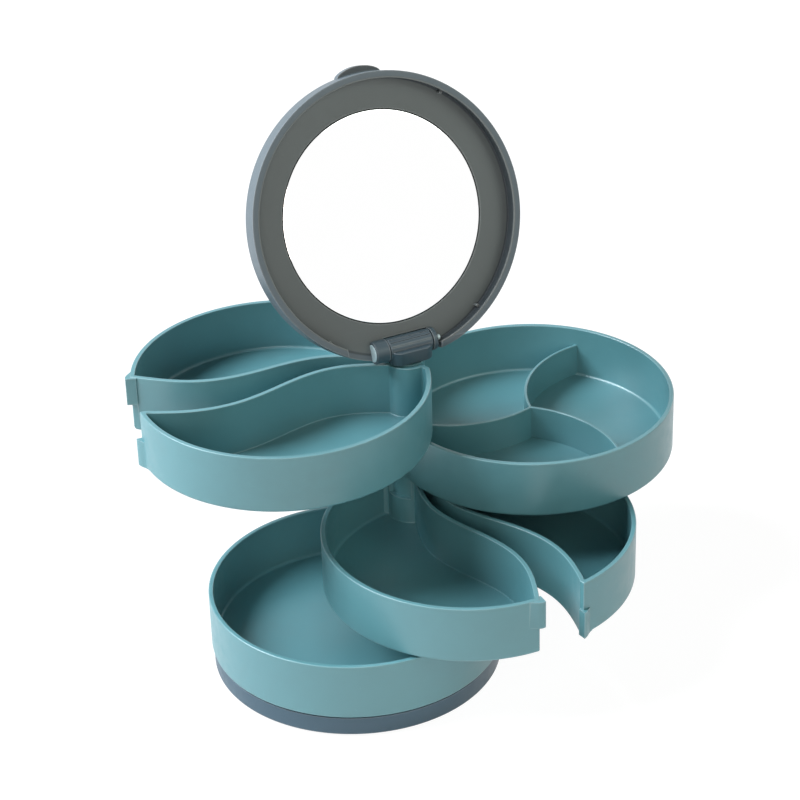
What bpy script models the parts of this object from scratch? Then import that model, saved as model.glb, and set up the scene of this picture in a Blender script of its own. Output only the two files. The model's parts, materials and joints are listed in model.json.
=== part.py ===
# Rotating jewellery organizer: four round tray layers that swing on one post, under a mirror lid.
# Metres, +Z up. The fixed bottom tray is centred over the origin, a closed stack's finger tabs
# point along -Y, and the post that every layer swings on stands at +Y.
import math

import bmesh
import bpy
from mathutils import Matrix, Vector

# Trays
TRAY_RADIUS = 0.0525
TRAY_HEIGHT = 0.0216
WALL = 0.0017
FLOOR = 0.0019
LAYER_GAP = 0.0009
RIM_ROUND = 0.0004
BASE_ROUND = 0.0012
FLOOR_FILLET = 0.0012
CORNER_ROUND = 0.0007

# Post, hubs and the gaps that moving and resting pieces keep
PIVOT_INSET = 0.0057
HUB_RADIUS = 0.0062
HUB_CLEARANCE = 0.00045
HUB_LEDGE = 0.0012
POST_RADIUS = 0.002
RUNNING_GAP = 0.00015
SEAT_GAP = 0.0003

# The S line that parts a halved layer, and the finger tabs at its front end
SPLIT_GAP = 0.0008
SPLIT_FRONT_SWING = 0.00705
SPLIT_BACK_SWING = 0.0046
TAB_HALF_WIDTH = 0.0058
TAB_PROUD = 0.0018
TAB_SINK = 0.0003
TAB_DROP = 0.0001
TAB_EDGE = 0.0004
TONGUE = 0.001

# Curved dividers of the second tray
DIVIDER_WALL = 0.0011
DIVIDER_DROP = 0.0068
DIVIDER_BEND = 0.0424

# Slate base cover, its pads and its screws
BASE_HEIGHT = 0.0081
BASE_INSET = 0.0007
COVER_WALL = 0.002
COVER_FLOOR = 0.0018
COVER_ROUND = 0.0009
PAD_RADIUS = 0.0045
PAD_RING_INSET = 0.009
PAD_RECESS = 0.0008
PAD_PROUD = 0.0006
PAD_EDGE = 0.0002
SCREW_RING_INSET = 0.0225
SCREW_RADIUS = 0.0008
SCREW_HEAD_RADIUS = 0.0021
SCREW_HEAD_HEIGHT = 0.0008
SCREW_BITE = 0.0035
SCREW_BOSS_RADIUS = 0.0028
SCREW_GAP = 0.0001
POST_BOSS_RADIUS = 0.0044
POST_SCREW_RADIUS = 0.0011
POST_SCREW_BITE = 0.006
POST_SCREW_HEAD_RADIUS = 0.0026
POST_SCREW_HEAD_HEIGHT = 0.001
WASHER_RADIUS = 0.0031
WASHER_HEIGHT = 0.0005

# Lid shell, mirror and tape
LID_INSET = 0.001
LID_GAP = 0.0003
LID_HEIGHT = 0.0086
LID_RECESS = 0.0059
LID_RIM = 0.002
LID_LIP = 0.0006
LID_LIP_HEIGHT = 0.0014
LID_EDGE_ROUND = 0.0022
LID_TAB_HALF_WIDTH = 0.0084
LID_TAB_PROUD = 0.0024
LID_TAB_HEIGHT = 0.0028
LID_TAB_DROP = 0.001
LID_RIB_THICKNESS = 0.001
LID_RIB_HEIGHT = 0.0024
LID_RIB_DEPTH = 0.0014
MIRROR_MARGIN = 0.0116
MIRROR_GAP = 0.0003
MIRROR_THICKNESS = 0.001
MIRROR_SINK = 0.00015
MIRROR_EDGE = 0.0002
TAPE_INSET = 0.0039
TAPE_WIDTH = 0.022
TAPE_THICKNESS = 0.0005
TAPE_GAP = 0.0001

# Hinge between the swivel block and the lid
HINGE_RISE = 0.0053
BARREL_RADIUS = 0.0041
BARREL_LEFT = 0.008
BARREL_RIGHT = 0.0086
BARREL_GROOVE = 0.00035
SADDLE_FRONT = 0.006
SADDLE_GAP = 0.0004
SADDLE_EDGE = 0.0005
SADDLE_END = 0.0002
EAR_GAP = 0.00035
LEFT_EAR_LENGTH = 0.0052
RIGHT_EAR_LENGTH = 0.0018
GUSSET_REACH = 0.0022
GUSSET_DROP = 0.0016
LEFT_RIM_GAP = 0.011
RIGHT_RIM_GAP = 0.0008
PIN_RADIUS = 0.001
PIN_END_GAP = 0.001
PLATE_SCOOP = 0.0001
LID_SWEEP_GAP = 0.0004

# How far every cut runs past a face, and how near two corners are to be one
OVERRUN = 0.002
WELD = 0.000002

# Turns from the closed stack to the photographed pose, in degrees, seen from above
TOP_LEFT_TURN_DEG = -58.5
TOP_RIGHT_TURN_DEG = -44.6
SECOND_TURN_DEG = 133.2
THIRD_LEFT_TURN_DEG = 51.9
THIRD_RIGHT_TURN_DEG = 61.3
LID_TURN_DEG = 52.0
LID_OPEN_DEG = 110.0

# Angles that set shapes, in degrees
WALL_END_DEG = 27.0
CORNER_EASE_DEG = 7.0
NECK_FRONT_DEG = -84.0
NECK_BACK_DEG = 34.0
WINDOW_FRONT_DEG = -64.0
WINDOW_BACK_DEG = 10.0
DIVIDER_START_DEG = -3.0
PAD_TURN_DEG = 30.0
SCREW_TURN_DEG = 30.0
LID_RIB_TURN_DEG = 53.0
EAR_LOW_DEG = 180.0
EAR_HIGH_DEG = 418.0
SHARP_DEG = 32.0

# Counts of facets and copies
ROUND_SEGMENTS = 60
HUB_SEGMENTS = 32
SMALL_SEGMENTS = 16
FILLET_STEPS = 2
RIM_STEPS = 1
LID_EDGE_STEPS = 3
ARC_STEPS = 26
KEEP_STEPS = 8
SPLIT_STEPS = 18
CORNER_STEPS = 2
TAB_STEPS = 8
DIVIDER_STEPS = 10
DIVIDER_COUNT = 3
LAYER_COUNT = 4
SCREW_COUNT = 3
GROOVED_STEPS = (8, 11, 14, 17)
BISECTIONS = 48

# Shares of the sizes that they follow
SLOPE_STEP_SHARE = 0.0001
CORNER_REACH_SHARE = 0.42
TAB_ROOT_SHARE = 0.8
NECK_SHARE = 0.5

# Powers that shape the bumps' and the saddle's curves
TAB_POWER = 2
LID_TAB_POWER = 0.5
SADDLE_POWER = 0.8

# Worked out from the sizes above
pivot_offset = TRAY_RADIUS - PIVOT_INSET
keep_radius = HUB_RADIUS + HUB_CLEARANCE
split_back_length = pivot_offset - keep_radius - WALL
layer_pitch = TRAY_HEIGHT + LAYER_GAP
hub_stand = (LAYER_GAP - SEAT_GAP) / 2
half_height = TRAY_HEIGHT / 2
tab_root = TAB_ROOT_SHARE * WALL
bore_radius = POST_RADIUS + RUNNING_GAP
top_rim = BASE_HEIGHT + LAYER_COUNT * layer_pitch - LAYER_GAP
axis_height = top_rim + HINGE_RISE
lid_open_level = LID_GAP - HINGE_RISE
lid_radius = TRAY_RADIUS - LID_INSET
lid_plate = LID_HEIGHT - LID_RECESS
mirror_radius = lid_radius - LID_RIM - MIRROR_MARGIN
mirror_pocket = MIRROR_SINK + MIRROR_THICKNESS + TAPE_THICKNESS + 2 * TAPE_GAP
cover_radius = TRAY_RADIUS - BASE_INSET
cover_height = BASE_HEIGHT - PAD_PROUD - SEAT_GAP
pin_bore_radius = PIN_RADIUS + RUNNING_GAP
foot_low = hub_stand + SEAT_GAP - HINGE_RISE
saddle_top = lid_open_level + LID_RECESS - SADDLE_GAP
post_top = -pin_bore_radius - 2 * SEAT_GAP

TEAL = (0.150, 0.325, 0.365)
LID_SLATE = (0.105, 0.118, 0.118)
BASE_SLATE = (0.078, 0.119, 0.156)
HINGE_SLATE = (0.060, 0.095, 0.115)
STEEL = (0.560, 0.570, 0.580)
MIRROR = (0.920, 0.930, 0.930)
RUBBER = (0.030, 0.032, 0.034)
TAPE = (0.620, 0.620, 0.600)


def clear_scene():
    for item in list(bpy.data.objects):
        bpy.data.objects.remove(item, do_unlink=True)


def finish_material(name, colour, roughness, metallic):
    material = bpy.data.materials.new(name)
    material.use_nodes = True
    shader = material.node_tree.nodes["Principled BSDF"]
    shader.inputs["Base Color"].default_value = (*colour, 1)
    shader.inputs["Roughness"].default_value = roughness
    shader.inputs["Metallic"].default_value = metallic
    return material


def empty_at(name, location, turn=(0, 0, 0), parent=None):
    empty = bpy.data.objects.new(name, None)
    bpy.context.collection.objects.link(empty)
    empty.location = location
    empty.rotation_euler = [math.radians(angle) for angle in turn]
    empty.parent = parent
    return empty


def object_from(name, bm, parent):
    bmesh.ops.recalc_face_normals(bm, faces=bm.faces)
    mesh = bpy.data.meshes.new(name)
    bm.to_mesh(mesh)
    bm.free()
    item = bpy.data.objects.new(name, mesh)
    bpy.context.collection.objects.link(item)
    item.parent = parent
    return item


# A tool shape joins a solid or cuts it, and is only a wire guide in the scene
def combine(target, bm, operation):
    tool = object_from(target.name + "_tool", bm, target.parent)
    tool.hide_render = True
    tool.display_type = "WIRE"
    modifier = target.modifiers.new(tool.name, "BOOLEAN")
    modifier.operation = operation
    modifier.solver = "EXACT"
    modifier.object = tool


def join(target, bm):
    combine(target, bm, "UNION")


def cut(target, bm):
    combine(target, bm, "DIFFERENCE")


# The joins and cuts are applied, the guides removed, and round faces shaded smooth
def finish(item, colour, roughness=0.5, metallic=0.0):
    bpy.context.view_layer.update()
    graph = bpy.context.evaluated_depsgraph_get()
    mesh = bpy.data.meshes.new_from_object(item.evaluated_get(graph))
    tools = [modifier.object for modifier in item.modifiers]
    item.modifiers.clear()
    for tool in tools:
        bpy.data.objects.remove(tool, do_unlink=True)
    bm = bmesh.new()
    bm.from_mesh(mesh)
    bmesh.ops.remove_doubles(bm, verts=bm.verts, dist=WELD)
    bm.to_mesh(mesh)
    bm.free()
    mesh.name = item.name
    item.data = mesh
    mesh.materials.clear()
    mesh.materials.append(finish_material(item.name, colour, roughness, metallic))
    mesh.shade_smooth()
    mesh.set_sharp_from_angle(angle=math.radians(SHARP_DEG))
    return item


# A solid from outlines with equal counts of points, each at its height, closed at both ends,
# or with its last outline joined to its first
def loft(sections, at=(0, 0, 0), is_ring=False):
    bm = bmesh.new()
    rings = []
    for outline, z in sections:
        rings.append([bm.verts.new((x + at[0], y + at[1], z + at[2])) for x, y in outline])
    pairs = list(zip(rings, rings[1:]))
    if is_ring:
        pairs.append((rings[-1], rings[0]))
    else:
        bm.faces.new(reversed(rings[0]))
        bm.faces.new(rings[-1])
    for low, high in pairs:
        for index in range(len(low)):
            bm.faces.new((low[index - 1], low[index], high[index], high[index - 1]))
    return bm


def prism(outline, low, high, at=(0, 0, 0)):
    return loft([(outline, low), (outline, high)], at)


def circle(radius, segments):
    angles = [2 * math.pi * (step + 0.5) / segments for step in range(segments)]
    return [(radius * math.cos(angle), radius * math.sin(angle)) for angle in angles]


# A solid turned about the Z axis, from pairs of radius and height
def turned(profile, segments, at=(0, 0, 0), is_ring=False):
    return loft([(circle(radius, segments), height) for radius, height in profile], at, is_ring)


def cylinder(radius, low, high, segments=SMALL_SEGMENTS, at=(0, 0, 0)):
    return turned([(radius, low), (radius, high)], segments, at)


def rotated(bm, degrees, axis="Z"):
    turn = Matrix.Rotation(math.radians(degrees), 3, axis)
    bmesh.ops.rotate(bm, verts=bm.verts, cent=(0, 0, 0), matrix=turn)
    return bm


# The shape is laid along +X instead of +Z
def along_x(bm):
    return rotated(bm, 90, "Y")


def box(low, high):
    outline = [(low[0], low[1]), (high[0], low[1]), (high[0], high[1]), (low[0], high[1])]
    return prism(outline, low[2], high[2])


# Points of a quarter round, as pairs of inset and rise, from the flat to the wall
def quarter(radius, steps=FILLET_STEPS):
    angles = [math.radians(90 * step / steps) for step in range(steps + 1)]
    return [(radius * (1 - math.sin(angle)), radius * (1 - math.cos(angle))) for angle in angles]


def crossing(inside, low, high):
    for _ in range(BISECTIONS):
        middle = (low + high) / 2
        if inside(middle):
            low = middle
        else:
            high = middle
    return low


# The S line: one long swing to +X in front of the centre, one shorter swing to -X behind it
def split_x(y):
    if y < 0:
        return -SPLIT_FRONT_SWING * math.sin(math.pi * y / TRAY_RADIUS)
    return -SPLIT_BACK_SWING * math.sin(math.pi * y / split_back_length)


def split_point(y, offset):
    step = TRAY_RADIUS * SLOPE_STEP_SHARE
    slope = (split_x(y + step) - split_x(y - step)) / (2 * step)
    reach = math.hypot(1, slope)
    return split_x(y) + offset / reach, y - offset * slope / reach


# How far from the post's axis a ray leaves a circle round the tray's centre
def rim_distance(radius, angle):
    return math.sqrt(radius ** 2 - (pivot_offset * math.cos(angle)) ** 2) - pivot_offset * math.sin(angle)


def rounded(points, corners, radius):
    result = []
    for index, point in enumerate(points):
        if index not in corners:
            result.append(point)
            continue
        corner = Vector(point)
        before = Vector(points[index - 1]) - corner
        after = Vector(points[(index + 1) % len(points)]) - corner
        reach = radius / math.tan(before.angle(after) / 2)
        reach = min(reach, CORNER_REACH_SHARE * before.length, CORNER_REACH_SHARE * after.length)
        start = corner + before.normalized() * reach
        end = corner + after.normalized() * reach
        for step in range(CORNER_STEPS + 1):
            along = step / CORNER_STEPS
            bend = start * (1 - along) ** 2 + corner * 2 * along * (1 - along) + end * along ** 2
            result.append((bend.x, bend.y))
    return result


# Plan of one half tray, drawn in by inset: outer arc, blunt end, arc round the hubs, S line.
# The side is +1 for the half at +X and -1 for the half at -X.
def half_outline(side, inset):
    radius = TRAY_RADIUS - inset
    keep = keep_radius + inset
    offset = side * (SPLIT_GAP / 2 + inset)
    pivot = (0, pivot_offset)
    front_y = crossing(lambda y: math.hypot(*split_point(y, offset)) < radius, 0, -TRAY_RADIUS)
    back_y = crossing(lambda y: math.dist(split_point(y, offset), pivot) > keep, 0, pivot_offset)
    front = split_point(front_y, offset)
    back = split_point(back_y, offset)
    meeting = math.asin((radius ** 2 - pivot_offset ** 2 - keep ** 2) / (2 * pivot_offset * keep))
    end = min(math.radians(WALL_END_DEG), meeting - math.radians(CORNER_EASE_DEG))
    reach = rim_distance(radius, end)
    first = math.atan2(side * front[0], -front[1])
    last = math.atan2(reach * math.cos(end), -pivot_offset - reach * math.sin(end))
    low = math.atan2(back[1] - pivot_offset, side * back[0])
    points = []
    for step in range(ARC_STEPS + 1):
        angle = first + (last - first) * step / ARC_STEPS
        points.append((side * radius * math.sin(angle), -radius * math.cos(angle)))
    for step in range(KEEP_STEPS + 1):
        angle = end + (low - end) * step / KEEP_STEPS
        points.append((side * keep * math.cos(angle), pivot_offset + keep * math.sin(angle)))
    for step in range(1, SPLIT_STEPS):
        points.append(split_point(back_y + (front_y - back_y) * step / SPLIT_STEPS, offset))
    corners = (0, ARC_STEPS, ARC_STEPS + 1, ARC_STEPS + 1 + KEEP_STEPS)
    return rounded(points, corners, CORNER_ROUND)


# Plan of a half's hub, about the post: a circle with a neck that reaches into the half's own walls
def hub_outline(side):
    points = []
    neck_radius = keep_radius + NECK_SHARE * WALL
    for step in range(HUB_SEGMENTS):
        degrees = 360 * step / HUB_SEGMENTS - 180
        angle = math.radians(degrees)
        radius = HUB_RADIUS
        if NECK_FRONT_DEG < degrees < NECK_BACK_DEG:
            radius = max(radius, min(neck_radius, rim_distance(TRAY_RADIUS, angle)))
        points.append((side * radius * math.cos(angle), radius * math.sin(angle)))
    return points


def ring_sector(side, inner, outer, start, end, steps):
    angles = [math.radians(start + (end - start) * step / steps) for step in range(steps + 1)]
    points = [(side * inner * math.cos(angle), inner * math.sin(angle)) for angle in angles]
    points += [(side * outer * math.cos(angle), outer * math.sin(angle)) for angle in reversed(angles)]
    return points


# Plan of a thumb bump on a round rim, about the rim's centre, between two places along the rim.
# The roots are pairs of place and depth that take the outline back inside the rim.
def bump_outline(radius, half_width, proud, power, span, roots):
    start, end = span
    points = []
    for step in range(TAB_STEPS + 1):
        place = start + (end - start) * step / TAB_STEPS
        ease = math.cos(math.pi / 2 * min(1, abs(place) / half_width)) ** power
        points.append((place, TAB_SINK - (proud + TAB_SINK) * ease))
    return [((radius - depth) * math.sin(place / radius), -(radius - depth) * math.cos(place / radius))
            for place, depth in points + roots]


# One of the two finger tabs of a halved layer, with its upper and lower edges drawn in
def finger_tab(span, roots, low, high):
    slim, full = (bump_outline(TRAY_RADIUS, TAB_HALF_WIDTH, proud, TAB_POWER, span, roots)
                  for proud in (TAB_PROUD - TAB_EDGE, TAB_PROUD))
    sections = [(slim, low), (full, low + TAB_EDGE), (full, high - TAB_EDGE), (slim, high)]
    return loft(sections, (0, -pivot_offset, 0))


# The upper tab's tongue reaches over the other half's tip, which stands back behind a flat face
def tongue_and_tip():
    face = TONGUE + SEAT_GAP
    front = -TRAY_RADIUS
    behind = crossing(lambda y: split_point(y, SPLIT_GAP / 2)[0] > face, front / 2, front)
    depth = behind - front
    roots = [(TONGUE, depth), (-TONGUE, depth), (-TONGUE, tab_root), (-TAB_HALF_WIDTH, tab_root)]
    tip = box((-face, front - OVERRUN, half_height - SEAT_GAP / 2),
              (face, behind + OVERRUN, TRAY_HEIGHT + OVERRUN))
    bmesh.ops.translate(tip, verts=tip.verts, vec=(0, -pivot_offset, 0))
    return roots, tip


# Half trays are built about the post's axis, so their plans are moved by the post's place
def half_tray(name, side, parent):
    to_pivot = (0, -pivot_offset, 0)
    outer = [(half_outline(side, inset), rise) for inset, rise in quarter(BASE_ROUND)]
    rim = quarter(RIM_ROUND, RIM_STEPS)
    outer += [(half_outline(side, inset), TRAY_HEIGHT - rise) for inset, rise in reversed(rim)]
    pocket = []
    for inset, rise in quarter(FLOOR_FILLET, RIM_STEPS):
        pocket.append((half_outline(side, WALL + inset), FLOOR + rise))
    for inset, rise in reversed(rim):
        pocket.append((half_outline(side, WALL - inset), TRAY_HEIGHT - rise))
    pocket.append((pocket[-1][0], TRAY_HEIGHT + OVERRUN))
    tray = object_from(name, loft(outer, to_pivot), parent)
    cut(tray, loft(pocket, to_pivot))
    middle_high = half_height + SEAT_GAP / 2
    middle_low = half_height - SEAT_GAP / 2
    if side < 0:
        join(tray, prism(hub_outline(side), middle_high, TRAY_HEIGHT + hub_stand))
        window = ring_sector(side, keep_radius, keep_radius + WALL + HUB_CLEARANCE,
                             WINDOW_FRONT_DEG, WINDOW_BACK_DEG, KEEP_STEPS)
        cut(tray, prism(window, middle_high + HUB_LEDGE, TRAY_HEIGHT + OVERRUN))
        join(tray, finger_tab((-TAB_HALF_WIDTH, TONGUE), tongue_and_tip()[0],
                              middle_high, TRAY_HEIGHT - TAB_DROP))
    else:
        join(tray, prism(hub_outline(side), -hub_stand, middle_low))
        start = SPLIT_GAP / 2
        behind = split_point(tab_root - TRAY_RADIUS, start)[0] + SEAT_GAP
        roots = [(TAB_HALF_WIDTH, tab_root), (behind, tab_root), (start, 0)]
        join(tray, finger_tab((start, TAB_HALF_WIDTH), roots, TAB_DROP, middle_low))
        cut(tray, tongue_and_tip()[1])
    cut(tray, cylinder(bore_radius, -OVERRUN, TRAY_HEIGHT + OVERRUN))
    return finish(tray, TEAL)


def tray_profile():
    inner = TRAY_RADIUS - WALL
    profile = [(TRAY_RADIUS - inset, rise) for inset, rise in quarter(BASE_ROUND)]
    rim = quarter(RIM_ROUND, RIM_STEPS)
    profile += [(TRAY_RADIUS - inset, TRAY_HEIGHT - rise) for inset, rise in reversed(rim)]
    profile += [(inner + inset, TRAY_HEIGHT - rise) for inset, rise in rim]
    profile += [(inner - inset, FLOOR + rise) for inset, rise in reversed(quarter(FLOOR_FILLET, RIM_STEPS))]
    return profile


# One curved divider, from the tray's centre to its wall, as an arc that bends to the right
def divider_outline():
    reach = TRAY_RADIUS - WALL / 2
    last = 2 * math.asin(reach / (2 * DIVIDER_BEND))
    first = -DIVIDER_WALL / (2 * DIVIDER_BEND)
    angles = [first + (last - first) * step / DIVIDER_STEPS for step in range(DIVIDER_STEPS + 1)]
    points = []
    sides = ((DIVIDER_BEND - DIVIDER_WALL / 2, angles), (DIVIDER_BEND + DIVIDER_WALL / 2, reversed(angles)))
    for radius, order in sides:
        points += [(radius * math.sin(angle), radius * math.cos(angle) - DIVIDER_BEND) for angle in order]
    return points


def second_tray(parent):
    at = (0, -pivot_offset, 0)
    tray = object_from("second_tray", turned(tray_profile(), ROUND_SEGMENTS, at), parent)
    for index in range(DIVIDER_COUNT):
        divider = prism(divider_outline(), FLOOR / 2, TRAY_HEIGHT - DIVIDER_DROP)
        rotated(divider, DIVIDER_START_DEG + 360 * index / DIVIDER_COUNT)
        bmesh.ops.translate(divider, verts=divider.verts, vec=at)
        join(tray, divider)
    join(tray, cylinder(HUB_RADIUS, -hub_stand, TRAY_HEIGHT + hub_stand, HUB_SEGMENTS))
    cut(tray, cylinder(bore_radius, -OVERRUN, TRAY_HEIGHT + OVERRUN))
    return finish(tray, TEAL)


def ring_places(radius, count, turn):
    angles = [math.radians(turn + 360 * index / count) for index in range(count)]
    return [(radius * math.cos(angle), radius * math.sin(angle)) for angle in angles]


def screw_places():
    return ring_places(TRAY_RADIUS - SCREW_RING_INSET, SCREW_COUNT, SCREW_TURN_DEG)


# Two pads stand near the post, where the swung trays lean, and two at the front
def pad_places():
    radius = TRAY_RADIUS - PAD_RING_INSET
    across = radius * math.sin(math.radians(PAD_TURN_DEG))
    along = radius * math.cos(math.radians(PAD_TURN_DEG))
    return [(x, y) for y in (-along, along) for x in (-across, across)]


def base_tray():
    tray = object_from("base_tray", turned(tray_profile(), ROUND_SEGMENTS), None)
    tray.location = (0, 0, BASE_HEIGHT)
    boss_low = PAD_PROUD + COVER_FLOOR + SEAT_GAP - BASE_HEIGHT
    pivot = (0, pivot_offset, 0)
    tools = [(join, cylinder(HUB_RADIUS, FLOOR / 2, TRAY_HEIGHT + hub_stand, HUB_SEGMENTS, pivot))]
    for x, y in screw_places():
        tools.append((join, cylinder(SCREW_BOSS_RADIUS, boss_low, FLOOR / 2, at=(x, y, 0))))
        tools.append((cut, cylinder(SCREW_RADIUS + SCREW_GAP, boss_low - OVERRUN,
                                    boss_low + SCREW_BITE + SEAT_GAP, at=(x, y, 0))))
    tools.append((cut, cylinder(bore_radius, -OVERRUN, TRAY_HEIGHT + OVERRUN, at=pivot)))
    for action, shape in tools:
        bmesh.ops.translate(shape, verts=shape.verts, vec=(0, 0, BASE_HEIGHT))
        action(tray, shape)
    return finish(tray, TEAL)


def base_cover():
    inner = cover_radius - COVER_WALL
    profile = [(cover_radius - inset, rise) for inset, rise in quarter(COVER_ROUND)]
    profile += [(cover_radius, cover_height), (inner, cover_height), (inner, COVER_FLOOR)]
    cover = object_from("base_cover", turned(profile, ROUND_SEGMENTS, (0, 0, PAD_PROUD)), None)
    low = PAD_PROUD
    pivot = (0, pivot_offset, 0)
    boss_top = low + cover_height - SEAT_GAP
    join(cover, cylinder(POST_BOSS_RADIUS, low + COVER_FLOOR / 2, boss_top, HUB_SEGMENTS, pivot))
    cut(cover, cylinder(WASHER_RADIUS + SEAT_GAP, low - OVERRUN, low + post_seat, at=pivot))
    cut(cover, cylinder(bore_radius, low, BASE_HEIGHT + OVERRUN, at=pivot))
    for x, y in screw_places():
        cut(cover, cylinder(SCREW_HEAD_RADIUS + SEAT_GAP, low - OVERRUN, low + screw_seat, at=(x, y, 0)))
        cut(cover, cylinder(SCREW_RADIUS + RUNNING_GAP, low, low + COVER_FLOOR + OVERRUN, at=(x, y, 0)))
    for x, y in pad_places():
        cut(cover, cylinder(PAD_RADIUS + SEAT_GAP, low - OVERRUN, low + PAD_RECESS, at=(x, y, 0)))
    return finish(cover, BASE_SLATE)


# Depths from the cover's underside to the faces that the screws pull against
screw_seat = SCREW_HEAD_HEIGHT + 2 * SCREW_GAP
post_seat = POST_SCREW_HEAD_HEIGHT + WASHER_HEIGHT + 2 * SCREW_GAP + SEAT_GAP


def fixings():
    for index, (x, y) in enumerate(pad_places()):
        pad = object_from(f"foot_pad_{index + 1}", turned([
            (PAD_RADIUS - PAD_EDGE, 0), (PAD_RADIUS, PAD_EDGE),
            (PAD_RADIUS, PAD_PROUD + PAD_RECESS - SCREW_GAP),
        ], SMALL_SEGMENTS), None)
        pad.location = (x, y, 0)
        finish(pad, RUBBER, 0.85)
    head_low = PAD_PROUD + SCREW_GAP
    for index, (x, y) in enumerate(screw_places()):
        head_top = head_low + SCREW_HEAD_HEIGHT
        tip = PAD_PROUD + COVER_FLOOR + SEAT_GAP + SCREW_BITE
        screw = object_from(f"base_screw_{index + 1}", turned([
            (SCREW_HEAD_RADIUS, head_low), (SCREW_HEAD_RADIUS, head_top),
            (SCREW_RADIUS, head_top), (SCREW_RADIUS, tip),
        ], SMALL_SEGMENTS), None)
        screw.location = (x, y, 0)
        finish(screw, STEEL, 0.35, 1.0)
    head_top = head_low + POST_SCREW_HEAD_HEIGHT
    washer_low = head_top + SCREW_GAP
    washer_top = washer_low + WASHER_HEIGHT
    hole = POST_SCREW_RADIUS + RUNNING_GAP
    tip = post_low + POST_SCREW_BITE
    screw = object_from("post_screw", turned([
        (POST_SCREW_HEAD_RADIUS, head_low), (POST_SCREW_HEAD_RADIUS, head_top),
        (POST_SCREW_RADIUS, head_top), (POST_SCREW_RADIUS, tip),
    ], SMALL_SEGMENTS), None)
    washer = object_from("post_washer", turned([
        (hole, washer_low), (WASHER_RADIUS, washer_low), (WASHER_RADIUS, washer_top), (hole, washer_top),
    ], SMALL_SEGMENTS, is_ring=True), None)
    for item in (screw, washer):
        item.location = (0, pivot_offset, 0)
        finish(item, STEEL, 0.35, 1.0)


post_low = PAD_PROUD + POST_SCREW_HEAD_HEIGHT + WASHER_HEIGHT + 3 * SCREW_GAP


# The post is pressed into the swivel block and turns with it. Its screw and washer, in a
# counterbore under the base, hold the whole stack on.
def pivot_post(parent):
    low = post_low - axis_height
    hole = POST_SCREW_RADIUS + SCREW_GAP
    hole_top = low + POST_SCREW_BITE + SEAT_GAP
    post = object_from("pivot_post", turned([
        (hole, hole_top), (hole, low), (POST_RADIUS, low), (POST_RADIUS, post_top),
    ], SMALL_SEGMENTS), parent)
    return finish(post, STEEL, 0.3, 1.0)


# Plan of the barrel across the hinge axis, with shallow grooves along its upper front
def barrel_outline():
    points = []
    for step in range(HUB_SEGMENTS):
        angle = 2 * math.pi * step / HUB_SEGMENTS
        grooved = step in GROOVED_STEPS
        radius = BARREL_RADIUS - (BARREL_GROOVE if grooved else 0)
        points.append((-radius * math.sin(angle), radius * math.cos(angle)))
    return points


# Outlines across the hinge axis are given as (height, -depth) because along_x turns +Z to +X
def across_axis(points):
    return [(-height, depth) for depth, height in points]


# Plan of the saddle that carries the barrel, about the post: bowed out in front, barrel deep behind
def saddle_outline(inset):
    middle = (BARREL_RIGHT - BARREL_LEFT) / 2
    half_length = (BARREL_RIGHT + BARREL_LEFT) / 2 - SADDLE_END - inset
    points = []
    for step in range(HUB_SEGMENTS):
        angle = 2 * math.pi * (step + 0.5) / HUB_SEGMENTS
        along, across = (math.copysign(abs(share) ** SADDLE_POWER, share)
                         for share in (math.cos(angle), math.sin(angle)))
        depth = SADDLE_FRONT if across < 0 else BARREL_RADIUS
        points.append((middle + half_length * along, (depth - inset) * across))
    return points


def hinge_block(parent):
    barrel = across_axis(barrel_outline())
    block = object_from("hinge_block", along_x(prism(barrel, -BARREL_LEFT, BARREL_RIGHT)), parent)
    join(block, loft([
        (saddle_outline(SADDLE_EDGE), foot_low), (saddle_outline(0), foot_low + SADDLE_EDGE),
        (saddle_outline(0), saddle_top - SADDLE_EDGE), (saddle_outline(SADDLE_EDGE), saddle_top),
    ]))
    cut(block, cylinder(POST_RADIUS + SCREW_GAP, foot_low - OVERRUN, post_top + SCREW_GAP))
    cut(block, along_x(cylinder(pin_bore_radius, -BARREL_LEFT - OVERRUN, BARREL_RIGHT + OVERRUN)))
    return finish(block, HINGE_SLATE)


# The ears' plan across the hinge axis: round in front, below and behind, and in the plate above
def ear_outline():
    points = [(-BARREL_RADIUS, LID_RECESS + lid_open_level + lid_plate / 2)]
    steps = SMALL_SEGMENTS // 2
    for step in range(steps + 1):
        angle = math.radians(EAR_LOW_DEG + (EAR_HIGH_DEG - EAR_LOW_DEG) * step / steps)
        points.append((BARREL_RADIUS * math.cos(angle), BARREL_RADIUS * math.sin(angle)))
    return points


# The opening in the lid's back edge for the barrel: round about the hinge axis in front, open behind
def slot_outline(low, top, back):
    radius = BARREL_RADIUS + EAR_GAP
    points = [(0, top), (back, top), (back, low), (-radius, low)]
    for step in range(KEEP_STEPS + 1):
        angle = math.radians(180 - 90 * step / KEEP_STEPS)
        points.append((radius * math.cos(angle), radius * math.sin(angle)))
    return points


# A rib that stiffens the right ear, from in front of it under the plate down to the ear's front
def gusset_outline():
    plate = lid_open_level + LID_RECESS
    front = -BARREL_RADIUS
    return [(front / 2, plate + lid_plate / 2), (front - GUSSET_REACH, plate + lid_plate / 2),
            (front - GUSSET_REACH, plate), (front, plate - GUSSET_DROP), (front / 2, plate - GUSSET_DROP)]


# What the lid's back edge may fill as it turns: the corner outside a round about the hinge axis
def sweep_outline():
    radius = HINGE_RISE - LID_SWEEP_GAP
    far = radius + OVERRUN
    points = [(far, 0), (far, -far), (0, -far)]
    for step in range(KEEP_STEPS + 1):
        angle = math.radians(-90 + 90 * step / KEEP_STEPS)
        points.append((radius * math.cos(angle), radius * math.sin(angle)))
    return points


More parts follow.
